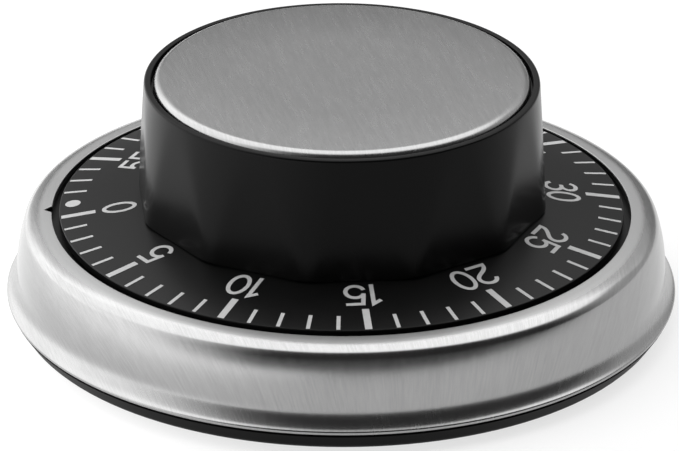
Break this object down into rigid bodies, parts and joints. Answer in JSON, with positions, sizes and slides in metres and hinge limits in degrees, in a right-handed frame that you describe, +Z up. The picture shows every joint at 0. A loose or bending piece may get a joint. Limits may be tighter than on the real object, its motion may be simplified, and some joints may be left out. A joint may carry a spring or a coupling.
{
  "type": "dial kitchen timer",
  "caption": "Low round mechanical kitchen timer: brushed steel case, black minute dial turned by a tall faceted knob with a steel cap, clockwork and bell inside.",
  "frame": {"origin": "centre of the circle it stands on, at the underside of the rubber foot ring", "axes": "+Z up along the dial's axis; +Y towards the index notch in the case"},
  "size_m": [0.08, 0.08, 0.03],
  "materials": {
    "brushed_steel_case": "linear brushed before drawing, satin",
    "brushed_steel_cap": "fine linear brushing, satin",
    "knob_black": "smooth moulded, semi-gloss",
    "dial_black": "satin with white printing",
    "dial_print": "white screen-printed ink on the dial",
    "housing_black": "moulded, satin",
    "cover_black": "fine spark texture",
    "foot_rubber": "matt rubber",
    "ferrite": "ground grey ferrite",
    "foam_pad": "foam adhesive",
    "bell_nickel": "nickel plated",
    "brass": "stamped, satin",
    "zinc_steel": "zinc plated",
    "spring_steel": "bright drawn"
  },
  "bodies": {
    "base": {"case_shell": "brushed_steel_case", "inner_housing": "housing_black", "back_cover": "cover_black", "foot_ring": "foot_rubber", "ring_magnet": "ferrite", "cover_screws": "zinc_steel", "bell_gong": "bell_nickel", "gong_screw": "zinc_steel", "movement_bottom_plate": "brass", "movement_top_plate": "brass", "plate_pillars": "zinc_steel", "pillar_nuts": "brass", "mount_screws": "zinc_steel", "spring_cup": "zinc_steel", "mainspring": "spring_steel", "hammer_post": "zinc_steel", "hammer_spring": "spring_steel"},
    "dial": {"dial_ring": "dial_black", "knob": "knob_black", "cap": "brushed_steel_cap", "cap_pad": "foam_pad", "knob_screw": "zinc_steel", "main_arbor": "spring_steel", "great_wheel": "brass", "clutch_washer": "spring_steel", "strike_cam": "zinc_steel"},
    "second": {"second_arbor": "spring_steel", "second_wheel": "brass"},
    "third": {"third_arbor": "spring_steel", "third_wheel": "brass"},
    "escape": {"escape_arbor": "spring_steel", "escape_wheel": "brass"},
    "balance": {"balance_arbor": "spring_steel", "balance_ring": "brass", "pallet_lever": "zinc_steel"},
    "hammer": {"hammer_lever": "zinc_steel", "hammer_head": "brass"}
  },
  "joints": [
    {"name": "dial_turn", "type": "hinge", "parent": "base", "child": "dial", "pos_m": [0, 0, 0.013], "axis": [0, 0, -1], "range_deg": [0, 354], "deforming": ["mainspring"]},
    {"name": "second_spin", "type": "hinge", "parent": "base", "child": "second", "pos_m": [-0.00958, -0.00349, 0.008], "axis": [0, 0, -1], "continuous": true},
    {"name": "third_spin", "type": "hinge", "parent": "base", "child": "third", "pos_m": [-0.01155, 0.00478, 0.009], "axis": [0, 0, -1], "continuous": true},
    {"name": "escape_spin", "type": "hinge", "parent": "base", "child": "escape", "pos_m": [-0.00629, 0.01081, 0.011], "axis": [0, 0, -1], "continuous": true},
    {"name": "balance_swing", "type": "hinge", "parent": "base", "child": "balance", "pos_m": [0.00181, 0.01287, 0.009], "axis": [0, 0, 1], "range_deg": [-12, 12]},
    {"name": "hammer_swing", "type": "hinge", "parent": "base", "child": "hammer", "pos_m": [0.01414, -0.01414, 0.009], "axis": [0, 0, 1], "range_deg": [-3, 8], "stiffness_Nm_per_rad": 0.002, "deforming": ["hammer_spring"]}
  ],
  "couplings": [
    {"joint": "second_spin", "follows": "dial_turn", "ratio": -7.5},
    {"joint": "third_spin", "follows": "dial_turn", "ratio": 56.25},
    {"joint": "escape_spin", "follows": "dial_turn", "ratio": -393.75}
  ]
}
